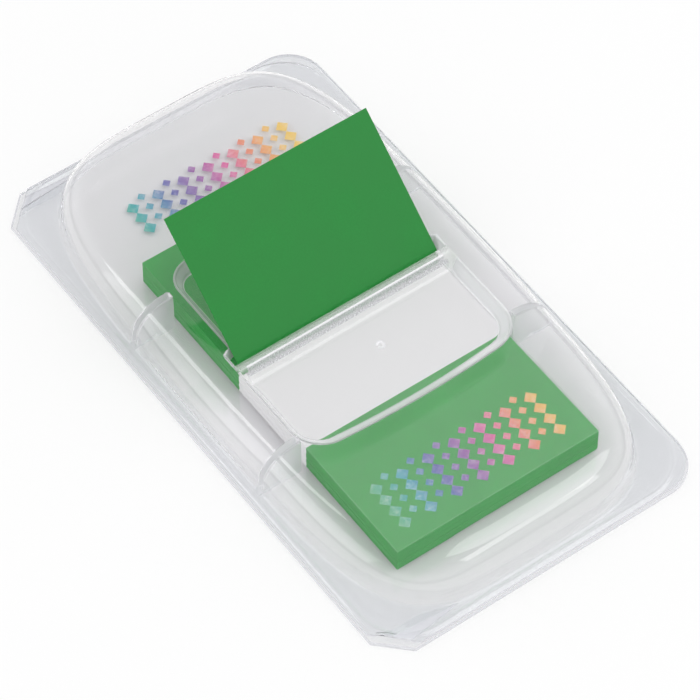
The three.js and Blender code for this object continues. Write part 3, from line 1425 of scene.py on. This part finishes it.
@dataclass
class PrintField:
    """A generic print: staggered columns of diamonds, by turns larger and smaller."""

    name: str
    centre: Point
    half_width: float
    rows: int
    z: float
    slot: Slot
    pitch: float = 1.6
    diamond: float = 0.8
    odd_shrink: float = 0.35
    thickness: float = 0.012

    def build(self, finishes: Finishes) -> bpy.types.Object:
        """Build the print.

        Args:
            finishes: The object's materials.

        Returns:
            The finished print.
        """
        columns = 2 * round(self.half_width / self.pitch) + 1
        recipe = NodeRecipe(self.name + "_rows", {
            "Columns": ("NodeSocketInt", columns),
            "Rows": ("NodeSocketInt", self.rows),
            "Width": ("NodeSocketFloat", (columns - 1) * self.pitch * MM),
            "Depth": ("NodeSocketFloat", (self.rows - 1) * self.pitch * MM),
            "Stagger": ("NodeSocketFloat", self.pitch / 2 * MM),
            "Centre": ("NodeSocketVector", (self.centre[0] * MM, self.centre[1] * MM, self.z * MM)),
            "Diamond": ("NodeSocketFloat", self.diamond * MM),
            "Thickness": ("NodeSocketFloat", self.thickness * MM),
            "Odd Shrink": ("NodeSocketFloat", self.odd_shrink),
            "Finish": ("NodeSocketMaterial", finishes.print_ink),
        })
        build, given = recipe.build, recipe.given
        grid = build.add("GeometryNodeMeshGrid", {
            "Size X": given["Width"], "Size Y": given["Depth"], "Vertices X": given["Columns"],
            "Vertices Y": given["Rows"],
        })
        index = build.add("GeometryNodeInputIndex").outputs[0]
        column = build.math("FLOOR", build.math("DIVIDE", index, given["Rows"]))
        odd = build.math("MODULO", column, 2.0)
        stagger = build.math("MULTIPLY", odd, given["Stagger"])
        shift = build.add("ShaderNodeCombineXYZ", {"Y": stagger}).outputs[0]
        moved = build.add("ShaderNodeVectorMath", {0: shift, 1: given["Centre"]}, operation="ADD").outputs[0]
        place = build.add("GeometryNodeSetPosition", {"Geometry": grid.outputs[0], "Offset": moved})
        lozenge = build.add("GeometryNodeMeshCylinder", {
            "Vertices": 4, "Radius": given["Diamond"], "Depth": given["Thickness"],
        })
        size = build.math("SUBTRACT", 1.0, build.math("MULTIPLY", odd, given["Odd Shrink"]))
        spread = {"Points": place.outputs[0], "Instance": lozenge.outputs[0], "Scale": size}
        recipe.finish(build.add("GeometryNodeInstanceOnPoints", spread).outputs[0])
        piece = recipe.make(self.name)
        hand_over(piece, self.slot)
        return piece


@dataclass
class RaisedTab:
    """The top tab: its clear part lies on the pad, and its green end stands up through the slot and leans."""

    box: NodeBox
    pad_top: float
    slot_middle: float
    film: float = 0.09
    lift: float = 0.055
    foot_radius: float = 0.55
    lean_radius: float = 1.2
    lean_degrees: float = 40.4
    columns: int = 20
    flat_rows: int = 28
    bend_rows: int = 10
    lean_rows: int = 24
    sharp_degrees: float = 40

    def build(self, finishes: Finishes) -> bpy.types.Object:
        """Build the film along its bent path.

        Args:
            finishes: The object's materials.

        Returns:
            The finished tab.
        """
        path = self._path()
        half = self.box.high[0]
        vertices = []
        for y, z in path:
            vertices += [(half * (1 - 2 * column / self.columns), y, z) for column in range(self.columns + 1)]
        width = self.columns + 1
        faces = []
        for row in range(len(path) - 1):
            for column in range(self.columns):
                low, high = row * width + column, (row + 1) * width + column
                faces.append((low, high, high + 1, low + 1))
        piece = make_mesh("top_tab", vertices, faces)
        piece.data.materials.append(finishes.tab)
        piece.data.materials.append(finishes.clear_film)
        for number, face in enumerate(piece.data.polygons):
            face.material_index = 1 if number // self.columns < self.flat_rows else 0
        thicken(piece, self.film, 0)
        settle(piece, self.sharp_degrees)
        hand_over(piece, Slot.TAB, "raised_tab")
        return piece

    def _path(self) -> list[Point]:
        """Side view of the film: flat on the pad, up through the slot, and leaning back.

        Returns:
            The points along Y and Z.
        """
        level = self.pad_top + self.lift
        foot = (self.slot_middle - self.foot_radius, level + self.foot_radius)
        lean = (self.slot_middle + self.lean_radius, foot[1])
        slope = math.radians(self.lean_degrees)
        points = [(y, level) for y in spaced(self.box.low[1], foot[0], self.flat_rows)[:-1]]
        upright = spaced(-math.pi / 2, 0.0, self.bend_rows)
        leaning = spaced(math.pi, math.pi / 2 + slope, self.bend_rows)[1:]
        for (y, z), radius, angles in ((foot, self.foot_radius, upright), (lean, self.lean_radius, leaning)):
            points += [(y + radius * math.cos(angle), z + radius * math.sin(angle)) for angle in angles]
        start_y, start_z = points[-1]
        for y in spaced(start_y, self.box.high[1] - self.film, self.lean_rows)[1:]:
            points.append((y, start_z + (y - start_y) * math.tan(slope)))
        return points


def seen_directly(build: NodeBuilder) -> Socket:
    """Tell rays that look at the background from those that gather light.

    Args:
        build: Builder of the floor's or the world's tree.

    Returns:
        Socket that is 1 for camera, glossy and transmission rays.
    """
    path = build.add("ShaderNodeLightPath").outputs
    seen = build.math("MAXIMUM", path["Is Camera Ray"], path["Is Glossy Ray"])
    return build.math("MAXIMUM", seen, path["Is Transmission Ray"])


@dataclass(frozen=True)
class Softbox:
    """A plain soft lamp."""

    name: str
    direction: Point3
    distance: float
    width: float
    height: float
    radiance: float

    def place(self) -> None:
        """Put the lamp in place, facing the object."""
        lamp = bpy.data.lights.new(self.name, "AREA")
        lamp.shape = "RECTANGLE"
        lamp.size = self.width
        lamp.size_y = self.height
        lamp.energy = self.radiance * math.pi * self.width * self.height
        thing = bpy.data.objects.new(self.name, lamp)
        direction = Vector(self.direction).normalized()
        thing.location = direction * self.distance
        thing.rotation_euler = direction.to_track_quat("Z", "Y").to_euler()
        bpy.context.scene.collection.objects.link(thing)


@dataclass
class Studio:
    """White floor, soft light and the camera."""

    azimuth: float = -35.968
    elevation: float = 52.938
    roll: float = 0.059
    distance: float = 402.303
    target: Point = (-0.098, -1.733)
    focal_pixels: float = 3924.458
    picture_pixels: float = 700.0
    floor_half: float = 900.0
    floor_z: float = -0.02
    floor_colour: Colour = (0.93, 0.93, 0.93)
    floor_rough: float = 0.9
    floor_glow: float = 0.5
    world_light: float = 0.82
    zenith_light: float = 0.55
    zenith_band: Point = (0.35, 0.8)
    horizon_light: float = 0.25
    horizon_band: Point = (-0.05, 0.3)
    clip: Point = (0.01, 20.0)

    def build(self) -> None:
        """Build the studio."""
        self._floor()
        self._world()
        for lamp in (
            Softbox("left_rear_strip", (-0.514, 0.487, 0.705), 1.1, 0.08, 0.6, 2.2),
            Softbox("front_right_softbox", (0.354, -0.698, 0.628), 1.1, 0.6, 0.26, 1.7),
            Softbox("overhead_softbox", (0.5, -0.3, 1.0), 1.2, 0.8, 0.8, 1.4),
            Softbox("left_fill", (-1.0, 0.35, 0.45), 1.4, 1.0, 0.8, 0.8),
        ):
            lamp.place()
        self._camera()
        scene = bpy.context.scene
        scene.view_settings.view_transform = "Standard"
        scene.cycles.max_bounces = 64
        scene.cycles.transmission_bounces = 64
        scene.cycles.glossy_bounces = 16
        scene.cycles.transparent_max_bounces = 32

    def _camera(self) -> None:
        """Put the camera where the photograph was taken from."""
        data = bpy.data.cameras.new("camera")
        data.lens = self.focal_pixels / self.picture_pixels * data.sensor_width
        data.clip_start, data.clip_end = self.clip
        turn, rise = math.radians(self.azimuth), math.radians(self.elevation)
        back = Vector((math.sin(turn) * math.cos(rise), -math.cos(turn) * math.cos(rise), math.sin(rise)))
        right = Vector((math.cos(turn), math.sin(turn), 0.0))
        up = back.cross(right)
        axes = Matrix((right, up, back)).transposed() @ Matrix.Rotation(math.radians(self.roll), 3, "Z")
        camera = bpy.data.objects.new("camera", data)
        place = Vector((self.target[0], self.target[1], 0.0)) + back * self.distance
        camera.matrix_world = Matrix.Translation(place * MM) @ axes.to_4x4()
        bpy.context.scene.collection.objects.link(camera)
        bpy.context.scene.camera = camera

    def _floor(self) -> None:
        """Make the plain white floor."""
        reach, z = self.floor_half, self.floor_z
        corners = [(-reach, -reach, z), (reach, -reach, z), (reach, reach, z), (-reach, reach, z)]
        floor = make_mesh("floor", corners, [(0, 1, 2, 3)])
        material, build, shader, output = new_material("floor_white")
        build.fill(shader, {
            "Base Color": self.floor_colour, "Roughness": self.floor_rough, "Specular IOR Level": 0.0,
        })
        seen = build.add("ShaderNodeLightPath").outputs["Is Camera Ray"]
        glow = build.add("ShaderNodeEmission").outputs[0]
        share = build.math("MULTIPLY", seen, self.floor_glow)
        mix = build.add("ShaderNodeMixShader", {0: share, 1: shader.outputs[0], 2: glow})
        build.fill(output, {"Surface": mix.outputs[0]})
        floor.data.materials.append(material)

    def _world(self) -> None:
        """Light everything softly, and show white where the world itself is seen."""
        world = bpy.data.worlds.new("studio_world")
        world.use_nodes = True
        build = NodeBuilder(world.node_tree)
        world.node_tree.nodes.clear()
        direction = build.add("ShaderNodeTexCoord").outputs["Generated"]
        height = build.add("ShaderNodeSeparateXYZ", {0: direction}).outputs["Z"]
        horizon = build.ramp(height, self.horizon_band, self.horizon_light, 1.0)
        shown = build.math("MULTIPLY", horizon, build.ramp(height, self.zenith_band, 1.0, self.zenith_light))
        lights = {0: seen_directly(build), 2: self.world_light, 3: shown}
        level = build.add("ShaderNodeMix", lights, data_type="FLOAT")
        background = build.add("ShaderNodeBackground", {"Color": WHITE, "Strength": level.outputs[0]})
        build.add("ShaderNodeOutputWorld", {"Surface": background.outputs[0]})
        bpy.context.scene.world = world


@dataclass(frozen=True)
class Layout:
    """Places that several pieces share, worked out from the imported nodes' boxes."""

    base: NodeBox
    cover: NodeBox
    pad: NodeBox
    tab: NodeBox
    flange_rise: float = 0.35
    pocket_depth: float = 1.5
    lifted_length: float = 17.45
    slot_behind: float = 0.45
    print_half: float = 9.6
    front_print: Point3 = (-0.2, -21.9, -0.025)
    rear_print: Point3 = (1.7, 24.8, 0.03)

    def pieces(self) -> list["BaseSheet | TabPad | PrintField | RaisedTab | CoverShell"]:
        """List every piece of the object in the order of building.

        Returns:
            The pieces.
        """
        pad_top, base_top, cover_top = self.pad.high[2], self.base.high[2], self.cover.high[2]
        slot_middle = self.pad.high[1] - self.lifted_length
        prints = (
            ("front_print", self.front_print, 4, pad_top, Slot.PAD),
            ("rear_print", self.rear_print, 3, base_top, Slot.BASE),
        )
        return [
            BaseSheet(*self.base.high),
            TabPad(self.pad),
            *(PrintField(name, (x, y), self.print_half, rows, level + rise, slot)
              for name, (x, y, rise), rows, level, slot in prints),
            RaisedTab(self.tab, pad_top, slot_middle),
            CoverShell(
                half_width=self.cover.high[0],
                half_length=self.cover.high[1],
                flange_z=base_top + self.flange_rise,
                top_z=cover_top,
                floor_z=cover_top - self.pocket_depth,
                tab_half=self.tab.high[0],
                slot_rear=slot_middle + self.slot_behind,
            ),
        ]


def main() -> None:
    """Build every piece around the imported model, in order."""
    logging.basicConfig(level=logging.INFO, format="%(name)s %(message)s")
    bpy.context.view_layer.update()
    layout = Layout(*(NodeBox.of(node) for node in ("base_sheet", "cover", "tab_pad", "raised_tab")))
    Studio().build()
    finishes = Finishes.build(layout.pad)
    for piece in layout.pieces():
        piece.build(finishes)


if __name__ == "__main__":
    main()
